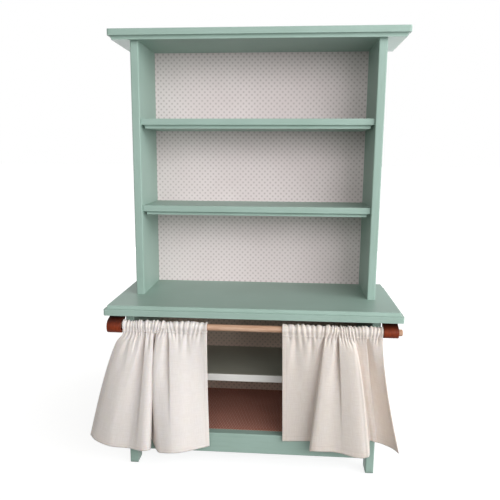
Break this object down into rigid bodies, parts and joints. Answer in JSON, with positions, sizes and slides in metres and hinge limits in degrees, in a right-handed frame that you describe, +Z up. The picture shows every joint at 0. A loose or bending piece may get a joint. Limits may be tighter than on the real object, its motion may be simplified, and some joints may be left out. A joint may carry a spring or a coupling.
{
  "type": "toy kitchen dresser",
  "caption": "Painted toy kitchen dresser: open papered hutch with shelves on a base cabinet closed by gathered curtains on a rod held in leather loops.",
  "frame": {"origin": "bottom centre of the bounding box, on the floor; the carcass's centre plane is 16 mm to +X because the left curtain flares out further than the right one", "axes": "+X to the right as seen from the front, +Y towards the back, +Z up; the curtains face -Y"},
  "size_m": [0.575, 0.268, 0.814],
  "materials": {
    "green_paint": "satin paint",
    "white_paint": "satin paint",
    "back_board": "satin paint",
    "lining_paper": "matt, small dots",
    "strap_leather": "smooth, semi-matt",
    "screw_metal": "dull",
    "rod_wood": "bare, sanded",
    "curtain_cloth": "plain woven cotton",
    "dowel_wood": "bare"
  },
  "bodies": {
    "carcass": {"top_board": "green_paint", "hutch_side_left": "green_paint", "hutch_side_right": "green_paint", "upper_shelf": "green_paint", "lower_shelf": "green_paint", "worktop": "green_paint", "base_side_left": "green_paint", "base_side_right": "green_paint", "front_rail": "green_paint", "bottom_board": "green_paint", "hutch_back_panel": "back_board", "base_back_panel": "back_board", "hutch_lining_paper": "lining_paper", "bottom_lining_paper": "lining_paper", "base_lining_paper": "lining_paper", "inner_shelf": "white_paint", "strap_left": "strap_leather", "strap_right": "strap_leather", "strap_screws": "screw_metal", "top_board_dowels": "dowel_wood", "hutch_foot_dowels": "dowel_wood", "worktop_dowels": "dowel_wood"},
    "rod": {"curtain_rod": "rod_wood"},
    "left_curtain": {"curtain_left": "curtain_cloth"},
    "right_curtain": {"curtain_right": "curtain_cloth"}
  },
  "joints": [
    {"name": "left_curtain_slide", "type": "slide", "parent": "carcass", "child": "left_curtain", "axis": [1, 0, 0], "range_m": [0, 0.065]},
    {"name": "right_curtain_slide", "type": "slide", "parent": "carcass", "child": "right_curtain", "axis": [-1, 0, 0], "range_m": [0, 0.065]},
    {"name": "rod_slide", "type": "slide", "parent": "carcass", "child": "rod", "axis": [1, 0, 0], "range_m": [-0.02, 0.016]}
  ]
}
